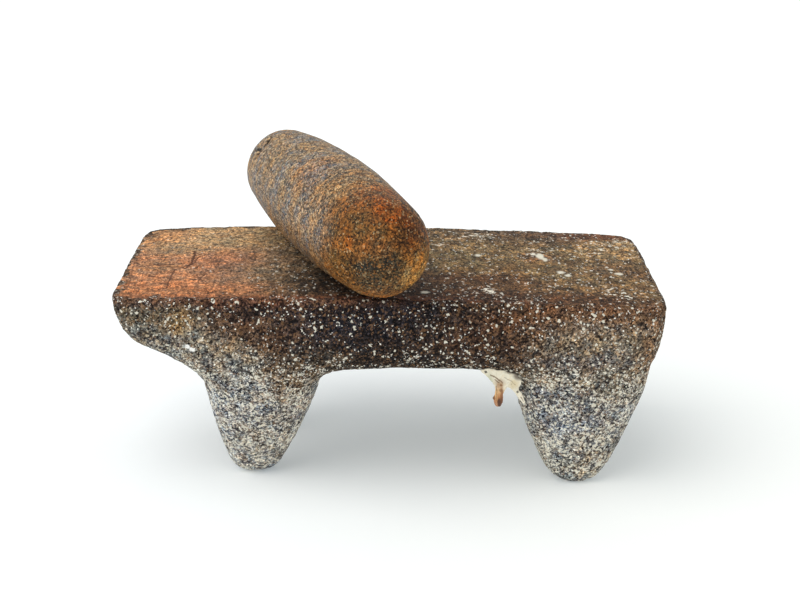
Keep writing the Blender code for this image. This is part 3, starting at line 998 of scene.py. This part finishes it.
@dataclass(frozen=True)
class HandstoneFinish:
    """The handstone's finer stone, grey-brown at its far half and rusty brown at its near half."""

    far_grey: Colour = srgb(151, 135, 115)
    near_rust: Colour = srgb(114, 77, 34)
    crack_shade: Colour = srgb(30, 28, 28)
    coarse: GrainTints = GrainTints(srgb(186, 162, 122), (0.28, 0.29, 0.32), srgb(172, 114, 56),
                                    pale_strength=0.35, dark_strength=0.75, rusty_strength=0.30, swing=0.8)
    fine: GrainTints = GrainTints(srgb(198, 174, 132), (0.22, 0.22, 0.24), srgb(176, 114, 54),
                                  pale_strength=0.50, dark_strength=0.85, rusty_strength=0.40, swing=1.4)
    roughness: float = 0.55
    gloss: float = 0.12
    coarse_size: float = 0.0012
    fine_size: float = 0.0008
    grit_size: float = 0.0012
    bump_height: float = 0.00035
    near_half: Pair = (0.0, -0.125)
    pale_end: Pair = (-0.06, -0.12)
    pale_shares: Pair = (0.12, 0.03)
    crack_range: Pair = (0.05, 0.55)
    crack_strength: float = 0.95

    mottles: tuple[Mottle, ...] = (
        Mottle(0.018, (0.74, 0.92, 1.22), (1.20, 1.02, 0.76), 0.9),
        Mottle(0.0085, (0.70, 0.84, 1.04), (1.26, 1.08, 0.80), 0.9),
        Mottle(0.0038, (0.60, 0.62, 0.66), (1.38, 1.30, 1.18), 0.8),
    )
    stains: tuple[Stain, ...] = stain_rows(
        Face.ALL,
        ((-66, 30, 182), (14, 60, 18), (140, 134, 122), 0.5, 0.6),
        ((-52, -72, 178), (20, 38, 18), (160, 148, 134), 0.6, 0.6),
        ((-45, -30, 195), (14, 22, 12), (122, 118, 116), 0.5, 0.6),
        ((-30, -75, 199), (20, 20, 12), (182, 140, 92), 0.55, 0.6),
        ((-50, -20, 198), (18, 20, 10), (176, 122, 76), 0.45, 0.7),
        ((-4, -137, 164), (18, 30, 17), (60, 54, 40), 0.85, 0.5),
        ((-20, -130, 178), (12, 20, 8), (150, 92, 42), 0.55, 0.7),
        ((14, -122, 184), (12, 22, 10), (84, 40, 20), 0.65, 0.6),
        ((4, -124, 195), (14, 16, 10), (110, 58, 22), 0.7, 0.6),
        ((-6, -139, 176), (8, 16, 6), (150, 96, 50), 0.5, 0.7),
        ((18, -127, 159), (10, 22, 14), (206, 146, 76), 0.85, 0.6),
        ((0, -136, 143), (22, 22, 6), (158, 104, 54), 0.6, 0.6),
        ((0, -105, 202), (22, 30, 10), (134, 76, 34), 0.6, 0.6),
        ((-94, 94, 192), (7, 10, 9), (96, 92, 92), 0.55, 0.6),
    )

    def material(self, effects: SharedEffects) -> bpy.types.Material:
        """Make the handstone's material.

        Args:
            effects: The shared node groups.

        Returns:
            The material.
        """
        surface = StoneSurface(bpy.data.materials.new("handstone_stone"), effects)
        bench, shader = surface.bench, surface.shader
        nearness = bench.remap(surface.along(surface.wandering, "Y"), *self.near_half)
        ground = bench.mix(nearness, self.far_grey, self.near_rust)
        for stain in self.stains:
            ground = surface.lay(stain, ground)
        for mottle in self.mottles:
            ground = surface.cloud(mottle, ground)
        pale = bench.remap(surface.along(surface.place, "Y"), *self.pale_end, *self.pale_shares)
        fine = surface.grains(surface.drawn_out, self.fine_size, pale, dark=0.26, rusty=0.18)
        coarse = surface.grains(surface.drawn_out, self.coarse_size, pale=0.02, dark=0.16, rusty=0.12)
        colour = surface.speckle(fine, self.fine, 1.0, ground)
        colour = surface.speckle(coarse, self.coarse, 1.0, colour)
        shade = bench.times(bench.remap(surface.hollow, *self.crack_range), self.crack_strength)
        bench.feed(shader.inputs["Base Color"], bench.mix(shade, colour, self.crack_shade))
        shader.inputs["Roughness"].default_value = self.roughness
        shader.inputs["Specular IOR Level"].default_value = self.gloss
        grit = bench.noise(surface.place, self.grit_size).outputs["Fac"]
        surface.bump(grit, self.bump_height)
        return surface.made


@dataclass(frozen=True)
class RemnantFinish:
    """Dried membrane: cream where it clings to the stone, tan and brown down its tail, with painted shade
    along its left edge, under the stone at its upper right and in its holes.
    """

    cream: Colour = srgb(232, 224, 202)
    tan: Colour = srgb(214, 190, 146)
    crease_brown: Colour = srgb(112, 84, 54)
    spots_and_shade: tuple[Stain, ...] = stain_rows(
        Face.ALL,
        # Painted shade: a grey-green band along the membrane's shaded left edge.
        ((63.2, -93, 77), (2.2, 20, 6), (190, 190, 160), 0.75, 0.5),
        ((68.8, -93, 69), (5, 20, 5), (224, 176, 118), 0.85, 0.4),
        ((68.8, -93, 63.5), (4.5, 20, 6), (176, 112, 64), 0.85, 0.4),
        ((71.4, -93, 69), (1.1, 20, 5), (132, 80, 42), 0.8, 0.4),
        ((68, -93, 68.8), (0.8, 20, 3.4), (236, 190, 132), 0.7, 0.6),
        ((66.2, -93, 66.8), (0.9, 20, 1.2), (96, 66, 40), 0.75, 0.6),
        ((71.6, -93, 64), (1, 20, 3), (96, 54, 30), 0.75, 0.6),
        ((70.6, -93, 71.6), (1.4, 20, 1), (120, 90, 60), 0.6, 0.6),
        ((70, -93, 77), (3, 20, 2.2), (150, 112, 70), 0.55, 0.6),
        # These two are painted shade: the stone's shadow on the membrane's upper right edge, in the stone's
        # brown.
        ((82.2, -93, 81.8), (3.6, 20, 2.8), (84, 70, 58), 0.85, 0.5),
        ((78, -93, 84.2), (4.4, 20, 1.4), (84, 70, 58), 0.8, 0.5),
        ((69.7, -93, 63.6), (1.3, 20, 3), (62, 32, 18), 0.9, 0.4),
        # Painted shade in a hole in the membrane.
        ((70.9, -93, 75.1), (0.8, 20, 0.8), (30, 18, 12), 0.9, 0.3),
        ((70, -93, 75), (2.2, 20, 2), (166, 120, 76), 0.6, 0.5),
        # Painted shade in a hole in the membrane.
        ((61, -93, 84.3), (0.9, 20, 0.8), (30, 22, 16), 0.85, 0.3),
        ((79, -93, 76), (3, 20, 3), (206, 186, 140), 0.6, 0.5),
        # Painted shade in a hole in the membrane.
        ((81.5, -93, 70.5), (0.7, 20, 1), (40, 32, 24), 0.8, 0.3),
    )
    creases: tuple[Crack, ...] = (
        Crack(((0.0641, 0.0, 0.0822), (0.0680, 0.0, 0.0800), (0.0718, 0.0, 0.0770)), 0.0006, 0.85),
        Crack(((0.0668, 0.0, 0.0790), (0.0694, 0.0, 0.0772)), 0.0005, 0.8),
        Crack(((0.0838, 0.0, 0.0670), (0.0852, 0.0, 0.0645)), 0.0004, 0.8),
        Crack(((0.0730, 0.0, 0.0805), (0.0775, 0.0, 0.0780), (0.0800, 0.0, 0.0755)), 0.0004, 0.5),
        Crack(((0.0680, 0.0, 0.0745), (0.0683, 0.0, 0.0690), (0.0678, 0.0, 0.0650)), 0.0004, 0.7),
    )
    roughness: float = 0.7
    wander: Pair = (0.0025, 0.0008)
    streak_size: float = 0.0016
    tan_streaks: Pair = (0.50, 0.66)
    tan_strength: float = 0.35
    brown_streaks: Pair = (0.40, 0.32)
    brown_strength: float = 0.6
    bump_strength: float = 0.9
    bump_height: float = 0.0004

    def material(self, effects: SharedEffects) -> bpy.types.Material:
        """Make the dried membrane's material.

        Args:
            effects: The shared node groups.

        Returns:
            The material.
        """
        made = bpy.data.materials.new("dried_membrane")
        made.use_nodes = True
        bench = Bench(made.node_tree)
        shader = made.node_tree.nodes["Principled BSDF"]
        place = bench.add("ShaderNodeTexCoord").outputs["Object"]
        wandering = bench.warped(place, *self.wander)
        hanging = bench.vector("MULTIPLY", place, (1.0, 1.0, 0.5))
        streaks = bench.noise(hanging, self.streak_size, 4.0, 0.65).outputs["Fac"]
        pale_lines = bench.times(bench.remap(streaks, *self.tan_streaks), self.tan_strength)
        colour = bench.mix(pale_lines, self.cream, self.tan)
        # Lays the membrane's colour spots, some of which are painted shade.
        for dab in self.spots_and_shade:
            mask = effects.stain_mask(bench, wandering, dab)
            colour = bench.mix(bench.times(mask, dab.strength), colour, dab.colour)
        flattened = bench.vector("MULTIPLY", wandering, (1.0, 0.0, 1.0))
        for crease in self.creases:
            for mask in effects.crack_masks(bench, flattened, crease):
                colour = bench.mix(mask, colour, self.crease_brown)
        brown_lines = bench.times(bench.remap(streaks, *self.brown_streaks), self.brown_strength)
        colour = bench.mix(brown_lines, colour, self.crease_brown)
        bench.feed(shader.inputs["Base Color"], colour)
        shader.inputs["Roughness"].default_value = self.roughness
        feeds = {"Strength": self.bump_strength, "Distance": self.bump_height, "Height": streaks}
        bench.feed(shader.inputs["Normal"], bench.add("ShaderNodeBump", feeds).outputs["Normal"])
        return made


def merged_copy(node: str) -> bpy.types.Mesh:
    """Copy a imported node's mesh with its loose corners merged.

    Args:
        node: The node's name.

    Returns:
        The merged copy.
    """
    shell = bmesh.new()
    shell.from_mesh(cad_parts[node].data)
    bmesh.ops.remove_doubles(shell, verts=shell.verts, dist=MERGE_DISTANCE)
    mesh = bpy.data.meshes.new(node + "_copy")
    shell.to_mesh(mesh)
    shell.free()
    return mesh


def with_modifier(mesh: bpy.types.Mesh, kind: str, **settings) -> bpy.types.Mesh:
    """Run a mesh through a modifier and keep the result.

    Args:
        mesh: The mesh to start from.
        kind: The modifier's type.
        **settings: Its settings.

    Returns:
        The resulting mesh.
    """
    holder = bpy.data.objects.new("holder", mesh)
    bpy.context.scene.collection.objects.link(holder)
    modifier = holder.modifiers.new(kind.lower(), kind)
    for name, value in settings.items():
        setattr(modifier, name, value)
    evaluated = holder.evaluated_get(bpy.context.evaluated_depsgraph_get())
    result = bpy.data.meshes.new_from_object(evaluated)
    bpy.data.objects.remove(holder)
    return result


def vertex_arrays(mesh: bpy.types.Mesh) -> tuple[np.ndarray, np.ndarray]:
    """Read a mesh's vertex places and normals.

    Args:
        mesh: The mesh.

    Returns:
        Two arrays, one row for each vertex.
    """
    places = np.empty(len(mesh.vertices) * 3, np.float32)
    normals = np.empty(len(mesh.vertices) * 3, np.float32)
    mesh.vertices.foreach_get("co", places)
    mesh.vertices.foreach_get("normal", normals)
    return places.reshape(-1, 3).astype(float), normals.reshape(-1, 3).astype(float)


def move_vertices(mesh: bpy.types.Mesh, places: np.ndarray) -> None:
    """Put a mesh's vertices at new places.

    Args:
        mesh: The mesh, changed in place.
        places: The new places, one row each.
    """
    mesh.vertices.foreach_set("co", places.astype(np.float32).ravel())
    mesh.update()


def edge_pairs(mesh: bpy.types.Mesh) -> np.ndarray:
    """Read which vertices a mesh's edges join.

    Args:
        mesh: The mesh.

    Returns:
        One row of two vertex numbers for each edge.
    """
    pairs = np.empty(len(mesh.edges) * 2, np.int32)
    mesh.edges.foreach_get("vertices", pairs)
    return pairs.reshape(-1, 2)


def eased(values: np.ndarray, pairs: np.ndarray, factor: float) -> np.ndarray:
    """Move each vertex's value towards the mean of its neighbours'.

    Args:
        values: One row for each vertex.
        pairs: The edges.
        factor: How far it moves; below 0 it moves away.

    Returns:
        The new values.
    """
    first, second = pairs.T
    count = np.bincount(pairs.ravel(), minlength=len(values))
    total = len(values)
    sums = [np.bincount(first, column[second], total) + np.bincount(second, column[first], total)
            for column in values.T]
    return values + factor * (np.stack(sums, axis=1) / count[:, None] - values)


def rounded_skin(mesh: bpy.types.Mesh, cell: float, steps: int) -> bpy.types.Mesh:
    """Give a mesh an even skin of small cells, its corners rounded off without shrinking it.

    Args:
        mesh: The closed mesh to start from.
        cell: The cells' size.
        steps: How many times the skin is eased and let out again.

    Returns:
        The skin's mesh.
    """
    skin = with_modifier(mesh, "REMESH", mode="VOXEL", voxel_size=cell)
    places, pairs = vertex_arrays(skin)[0], edge_pairs(skin)
    for factor in (EASE_IN, LET_OUT) * steps:
        places = eased(places, pairs, factor)
    move_vertices(skin, places)
    return skin


def fractal(places: np.ndarray, size: float, octaves: int) -> np.ndarray:
    """Read a smooth noise at each place.

    Args:
        places: The places, one row each.
        size: The noise's broadest features.
        octaves: How many octaves it has.

    Returns:
        Its value at each place, about -1 to 1.
    """
    scaled = (places / size + octaves * OCTAVE_SHIFT).tolist()
    return np.array([noise.fractal(place, 1.0, 2.0, octaves) for place in scaled])


def cell_distance(places: np.ndarray, size: float) -> np.ndarray:
    """Read how far each place lies from the nearest of many scattered points.

    Args:
        places: The places, one row each.
        size: About how far apart the points are.

    Returns:
        The distance at each place, as a share of size.
    """
    return np.array([noise.voronoi(place)[0][0] for place in (places / size).tolist()])


def set_attribute(mesh: bpy.types.Mesh, name: str, values: np.ndarray) -> None:
    """Store one number at each vertex for the material to read.

    Args:
        mesh: The mesh.
        name: The attribute's name.
        values: The numbers.
    """
    attribute = mesh.attributes.new(name, "FLOAT", "POINT")
    attribute.data.foreach_set("value", values.astype(np.float32))


def add_piece(name: str, mesh: bpy.types.Mesh, material: bpy.types.Material,
              node: str) -> bpy.types.Object:
    """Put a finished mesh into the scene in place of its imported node.

    Args:
        name: The piece's name.
        mesh: Its finished mesh.
        material: Its material.
        node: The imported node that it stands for.

    Returns:
        The piece.
    """
    mesh.materials.clear()
    mesh.materials.append(material)
    mesh.polygons.foreach_set("use_smooth", [True] * len(mesh.polygons))
    piece = bpy.data.objects.new(name, mesh)
    bpy.context.scene.collection.objects.link(piece)
    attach(piece, "root")
    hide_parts(node)
    log.info("%s: %d faces", name, len(mesh.polygons))
    return piece


@dataclass(frozen=True)
class Swelling:
    """A place where the stone stands out a little from its plain solid.

    Attributes:
        centre: Its middle.
        reach: How far it spreads along X, Y and Z.
        height: How far it stands out at its middle.
    """

    centre: Triple
    reach: Triple
    height: float

    def lift(self, places: np.ndarray) -> np.ndarray:
        """Work out how far each vertex stands out.

        Args:
            places: The vertex places.

        Returns:
            The height at each vertex.
        """
        offsets = (places - self.centre) / self.reach
        return self.height * np.exp(-(offsets ** 2).sum(axis=1))


@dataclass
class FinishedPiece:
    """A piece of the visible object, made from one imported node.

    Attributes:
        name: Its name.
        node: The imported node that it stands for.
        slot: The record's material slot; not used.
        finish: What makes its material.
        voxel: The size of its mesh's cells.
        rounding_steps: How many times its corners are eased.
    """

    name: str
    node: str
    slot: str
    finish: QuernFinish | HandstoneFinish | RemnantFinish
    voxel: float
    rounding_steps: int

    def build(self) -> bpy.types.Mesh:
        """Make the piece's mesh.

        Returns:
            The mesh.
        """
        raise NotImplementedError

    def dress(self, effects: SharedEffects) -> bpy.types.Object:
        """Build the piece and give it its finish.

        Args:
            effects: The shared node groups.

        Returns:
            The piece.
        """
        material = self.finish.material(effects)
        return add_piece(self.name, self.build(), material, self.node)


@dataclass
class QuernStone(FinishedPiece):
    """The four-legged grinding stone, pecked rough all over but for its worn top.

    The relief is a broad swell, pecking and grit, with small pits and wider vesicles sunk in it.
    """

    name: str = "weathered_quern"
    node: str = "quern"
    slot: str = "quern_stone"
    finish: QuernFinish = QuernFinish()
    voxel: float = 1.15 * MILLIMETRE
    rounding_steps: int = 24
    rim_fading: int = 80
    rim_chip: float = 0.40
    rim_chip_size: float = 11 * MILLIMETRE
    rim_sway: float = 0.15
    rim_sway_size: float = 35 * MILLIMETRE
    swell: float = 0.55 * MILLIMETRE
    swell_size: float = 22 * MILLIMETRE
    peck: float = 0.40 * MILLIMETRE
    peck_size: float = 5.5 * MILLIMETRE
    grit: float = 0.30 * MILLIMETRE
    grit_size: float = 2.2 * MILLIMETRE
    pit_depth: float = 0.8 * MILLIMETRE
    pit_spacing: float = 3.4 * MILLIMETRE
    pit_share: float = 0.30
    pit_floor: float = 0.05
    vesicle_depth: float = 0.6 * MILLIMETRE
    vesicle_spacing: float = 9.0 * MILLIMETRE
    vesicle_share: float = 0.16
    vesicle_floor: float = 0.04
    deepest: float = 1.3 * MILLIMETRE
    proudest: float = 0.35 * MILLIMETRE
    foot_height: float = 6.0 * MILLIMETRE
    worn_band: float = 14 * MILLIMETRE
    worn_facing: Pair = (0.62, 0.92)
    worn_range: Pair = (0.46, 0.92)
    worn_calm: float = 0.88
    worn_swell_calm: float = 0.7
    swellings: tuple[Swelling, ...] = (
        Swelling((-0.150, 0.020, 0.124), (0.030, 0.055, 0.012), 4.5 * MILLIMETRE),
        Swelling((-0.122, -0.085, 0.082), (0.020, 0.030, 0.018), 2.8 * MILLIMETRE),
        Swelling((0.168, -0.080, 0.080), (0.020, 0.030, 0.020), 2.0 * MILLIMETRE),
        Swelling((0.088, -0.085, 0.042), (0.018, 0.035, 0.032), 2.0 * MILLIMETRE),
        Swelling((-0.078, -0.075, 0.004), (0.040, 0.040, 0.014), 1.6 * MILLIMETRE),
        Swelling((0.115, -0.085, 0.004), (0.040, 0.040, 0.014), 1.8 * MILLIMETRE),
    )

    def build(self) -> bpy.types.Mesh:
        """Make the quern's mesh.

        Returns:
            The mesh, with its worn and hollow attributes.
        """
        low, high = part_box(self.node)
        fine = rounded_skin(merged_copy(self.node), self.voxel, self.rounding_steps)
        places, normals = vertex_arrays(fine)
        worn = self.worn_share(places, normals, edge_pairs(fine), high.z)
        relief = self.relief(places, worn)
        lift = sum(swelling.lift(places) for swelling in self.swellings)
        moved = places + normals * (relief + lift)[:, None]
        foot = smooth_share(places[:, 2], self.foot_height, 0)
        moved[:, 2] -= foot * moved[:, 2].min()
        set_attribute(fine, "worn", worn)
        set_attribute(fine, "hollow", np.clip(-relief / self.deepest, 0, 1))
        move_vertices(fine, moved)
        triangles = sum(len(face.vertices) - 2 for face in fine.polygons)
        lighter = with_modifier(fine, "DECIMATE", ratio=min(1.0, TRIANGLE_BUDGET / triangles))
        move_vertices(lighter, np.clip(vertex_arrays(lighter)[0], low, high))
        return lighter

    def worn_share(self, places: np.ndarray, normals: np.ndarray, pairs: np.ndarray,
                   top: float) -> np.ndarray:
        """Find where grinding has worn the stone, with a ragged edge along the rim.

        Args:
            places: The vertex places.
            normals: The vertex normals.
            pairs: The edges.
            top: The height of the stone's highest point.

        Returns:
            How worn it is at each vertex, 0 to 1.
        """
        facing_up = smooth_share(normals[:, 2], *self.worn_facing) * (places[:, 2] > top - self.worn_band)
        spread = facing_up[:, None]
        for _ in range(self.rim_fading):
            spread = eased(spread, pairs, EASE_IN)
        ragged = spread[:, 0] + self.rim_chip * fractal(places, self.rim_chip_size, 3)
        ragged = ragged + self.rim_sway * fractal(places, self.rim_sway_size, 2)
        return smooth_share(ragged, *self.worn_range)

    def relief(self, places: np.ndarray, worn: np.ndarray) -> np.ndarray:
        """Work out how far each vertex stands proud of the plain solid.

        Args:
            places: The vertex places.
            worn: How worn the surface is there, 0 to 1.

        Returns:
            The height at each vertex; hollows are negative.
        """
        rough = 1 - self.worn_calm * worn
        height = self.swell * fractal(places, self.swell_size, 3) * (1 - self.worn_swell_calm * worn)
        height += self.peck * fractal(places, self.peck_size, 2) * rough
        height += self.grit * fractal(places, self.grit_size, 2) * rough
        pits = smooth_share(cell_distance(places, self.pit_spacing), self.pit_share, self.pit_floor)
        height -= self.pit_depth * pits * rough
        vesicles = cell_distance(places, self.vesicle_spacing)
        vesicles = smooth_share(vesicles, self.vesicle_share, self.vesicle_floor)
        height -= self.vesicle_depth * vesicles
        return np.clip(height, -self.deepest, self.proudest)


@dataclass
class Handstone(FinishedPiece):
    """The long rubbing stone, ground smooth, with a crack across its far end."""

    name: str = "rolled_handstone"
    node: str = "handstone"
    slot: str = "handstone_stone"
    finish: HandstoneFinish = HandstoneFinish()
    voxel: float = 1.0 * MILLIMETRE
    rounding_steps: int = 60
    swell: float = 0.40 * MILLIMETRE
    swell_size: float = 35 * MILLIMETRE
    grit: float = 0.07 * MILLIMETRE
    grit_size: float = 2.5 * MILLIMETRE
    proudest: float = 0.3 * MILLIMETRE
    crack_depth: float = 3.0 * MILLIMETRE
    crack_width: float = 2.3 * MILLIMETRE
    branch_share: float = 0.6
    end_share: float = 0.25
    taper_share: float = 0.4
    floor_share: float = 0.2
    crack: tuple[Triple, ...] = (
        (-0.0873, 0.1055, 0.1987), (-0.0897, 0.0923, 0.1961), (-0.0915, 0.0908, 0.1940),
        (-0.0934, 0.0894, 0.1918), (-0.0949, 0.0889, 0.1898), (-0.0966, 0.0881, 0.1870),
    )
    branch: tuple[Triple, ...] = (
        (-0.0934, 0.0900, 0.1918), (-0.0955, 0.0960, 0.1912), (-0.0979, 0.1038, 0.1899),
        (-0.0985, 0.1110, 0.1870),
    )

    def build(self) -> bpy.types.Mesh:
        """Make the handstone's mesh.

        Returns:
            The mesh, with its hollow attribute.
        """
        low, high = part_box(self.node)
        fine = rounded_skin(merged_copy(self.node), self.voxel, self.rounding_steps)
        places, normals = vertex_arrays(fine)
        height = self.swell * fractal(places, self.swell_size, 2)
        height = np.minimum(height + self.grit * fractal(places, self.grit_size, 2), self.proudest)
        groove = self.groove(places, self.crack)
        groove = np.maximum(groove, self.branch_share * self.groove(places, self.branch))
        height -= self.crack_depth * groove
        set_attribute(fine, "hollow", groove)
        move_vertices(fine, np.clip(places + normals * height[:, None], low, high))
        return fine

    def groove(self, places: np.ndarray, line: tuple) -> np.ndarray:
        """Open a crack along a line drawn on the stone, deepest at its middle.

        Args:
            places: The vertex places.
            line: The points that it runs through, each moved to the nearest vertex.

        Returns:
            How deep it is at each vertex, 0 to 1.
        """
        points = [places[np.argmin(np.linalg.norm(places - point, axis=1))] for point in np.array(line)]
        nearest = np.full(len(places), np.inf)
        for origin, end in zip(points, points[1:]):
            run = end - origin
            share = np.clip((places - origin) @ run / (run @ run), 0, 1)
            offset = places - origin - share[:, None] * run
            nearest = np.minimum(nearest, np.linalg.norm(offset, axis=1))
        ends = np.minimum(*(np.linalg.norm(places - point, axis=1) for point in (points[0], points[-1])))
        taper = smooth_share(ends, 0, self.taper_share * np.linalg.norm(points[-1] - points[0]))
        depth = self.end_share + (1 - self.end_share) * taper
        return smooth_share(nearest, self.crack_width, self.floor_share * self.crack_width) * depth


@dataclass
class DriedRemnant(FinishedPiece):
    """A dried scrap of membrane that clings in the corner under the slab, with a tail hanging from it."""

    name: str = "dried_membrane"
    node: str = "dried_remnant"
    slot: str = "dried_remnant"
    finish: RemnantFinish = RemnantFinish()
    depth: float = -0.0915
    thickness: float = 1.3 * MILLIMETRE
    voxel: float = 0.32 * MILLIMETRE
    fold: float = 0.45 * MILLIMETRE
    fold_size: float = 3.0 * MILLIMETRE
    fold_stretch: Triple = (1.0, 1.0, 0.45)
    sway: float = 1.2 * MILLIMETRE
    sway_size: float = 10 * MILLIMETRE
    rounding_steps: int = 4
    outline: tuple[Pair, ...] = (
        (0.0572, 0.0852), (0.0591, 0.0832), (0.0618, 0.0809), (0.0643, 0.0785), (0.0658, 0.0764),
        (0.0668, 0.0744), (0.0673, 0.0722), (0.0671, 0.0698), (0.0667, 0.0682), (0.0656, 0.0664),
        (0.0662, 0.0655), (0.0665, 0.0636), (0.0672, 0.0622), (0.0680, 0.0610), (0.0690, 0.0600),
        (0.0702, 0.0603), (0.0711, 0.0617), (0.0721, 0.0637), (0.0724, 0.0668), (0.0722, 0.0690),
        (0.0729, 0.0711), (0.0741, 0.0732), (0.0750, 0.0741), (0.0772, 0.0728), (0.0791, 0.0702),
        (0.0814, 0.0670), (0.0842, 0.0636), (0.0857, 0.0622), (0.0866, 0.0638), (0.0842, 0.0693),
        (0.0822, 0.0715), (0.0824, 0.0738), (0.0836, 0.0755), (0.0838, 0.0786), (0.0806, 0.0826),
        (0.0745, 0.0846), (0.0716, 0.0852), (0.0679, 0.0854), (0.0660, 0.0862), (0.0612, 0.0866),
    )

    def build(self) -> bpy.types.Mesh:
        """Make the remnant's mesh.

        Returns:
            The mesh.
        """
        low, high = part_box(self.node)
        sheet = bmesh.new()
        corners = [sheet.verts.new((x, self.depth, z)) for x, z in self.outline]
        grown = bmesh.ops.extrude_face_region(sheet, geom=[sheet.faces.new(corners)])["geom"]
        back = [item for item in grown if isinstance(item, bmesh.types.BMVert)]
        bmesh.ops.translate(sheet, verts=back, vec=(0, self.thickness, 0))
        bmesh.ops.recalc_face_normals(sheet, faces=sheet.faces)
        flat = bpy.data.meshes.new("remnant_sheet")
        sheet.to_mesh(flat)
        sheet.free()
        fine = rounded_skin(flat, self.voxel, self.rounding_steps)
        places, normals = vertex_arrays(fine)
        height = self.fold * fractal(places * self.fold_stretch, self.fold_size, 3)
        moved = places + normals * height[:, None]
        moved[:, 1] += self.sway * fractal(places * (1, 0, 1), self.sway_size, 2)
        move_vertices(fine, np.clip(moved, low, high))
        return fine


@dataclass
class Studio:
    """The pale floor, the soft light and the camera. The floor's colour is painted a little lighter to the
    back left and darker to the front right: painted light from the left.
    """

    camera_place: Triple = (0.00615, -1.16922, 0.4444)
    camera_tilt: float = math.radians(73.84)
    lens: float = 80.0
    sensor: float = 36.0
    floor_size: float = 14.0
    shaded_floor_colour: Colour = (0.77, 0.76, 0.71)
    lit_floor_colour: Colour = (0.82, 0.82, 0.80)
    floor_glow: Colour = (0.84, 0.94, 1.0)
    glow_strength: float = 0.25
    floor_light_lean: Triple = (-1.0, 0.45, 0.0)
    floor_light_fade: Pair = (-0.30, 0.25)
    floor_roughness: float = 0.9
    floor_gloss: float = 0.1
    sky: Colour = (0.94, 0.97, 1.0)
    sky_strength: float = 0.74
    sun_from: Triple = (-0.55, -0.40, 1.0)
    sun_strength: float = 1.55
    sun_spread: float = math.radians(65)

    def set_up(self) -> None:
        """Make the floor, the lights and the camera."""
        scene = bpy.context.scene
        scene.view_settings.view_transform = "Standard"
        self.make_floor()
        world = bpy.data.worlds.new("soft_sky")
        world.use_nodes = True
        background = world.node_tree.nodes["Background"]
        background.inputs["Color"].default_value = (*self.sky, 1)
        background.inputs["Strength"].default_value = self.sky_strength
        scene.world = world
        light = bpy.data.lights.new("soft_window", "SUN")
        light.energy = self.sun_strength
        light.angle = self.sun_spread
        window = bpy.data.objects.new("soft_window", light)
        window.rotation_euler = Vector(self.sun_from).to_track_quat("Z", "Y").to_euler()
        scene.collection.objects.link(window)
        lens = bpy.data.cameras.new("camera")
        lens.lens = self.lens
        lens.sensor_width = self.sensor
        camera = bpy.data.objects.new("camera", lens)
        camera.location = self.camera_place
        camera.rotation_euler = (self.camera_tilt, 0, 0)
        scene.collection.objects.link(camera)
        scene.camera = camera

    def make_floor(self) -> None:
        """Make the pale floor, its colour graded as painted light: lighter to the back left, darker to the
        front right.
        """
        plate = bmesh.new()
        bmesh.ops.create_grid(plate, x_segments=1, y_segments=1, size=self.floor_size / 2)
        mesh = bpy.data.meshes.new("floor")
        plate.to_mesh(mesh)
        plate.free()
        material = bpy.data.materials.new("pale_floor")
        material.use_nodes = True
        bench = Bench(material.node_tree)
        shader = material.node_tree.nodes["Principled BSDF"]
        place = bench.add("ShaderNodeTexCoord").outputs["Object"]
        # Painted light: the floor's colour grades from a shaded front right to a lit back left.
        toward_light = bench.vector("DOT_PRODUCT", place, self.floor_light_lean)
        colour = bench.mix(bench.remap(toward_light, *self.floor_light_fade), self.shaded_floor_colour, self.lit_floor_colour)
        bench.feed(shader.inputs["Base Color"], colour)
        shader.inputs["Roughness"].default_value = self.floor_roughness
        shader.inputs["Specular IOR Level"].default_value = self.floor_gloss
        shader.inputs["Emission Color"].default_value = (*self.floor_glow, 1)
        shader.inputs["Emission Strength"].default_value = self.glow_strength
        mesh.materials.append(material)
        floor = bpy.data.objects.new("floor", mesh)
        bpy.context.scene.collection.objects.link(floor)


def main() -> None:
    """Set up the studio, then build and dress every piece in order."""
    logging.basicConfig(level=logging.INFO, format="%(message)s")
    Studio().set_up()
    effects = SharedEffects()
    for part in (QuernStone(), Handstone(), DriedRemnant()):
        piece = part.dress(effects)
        log.info("dressed %s", piece.name)


if __name__ == "__main__":
    main()
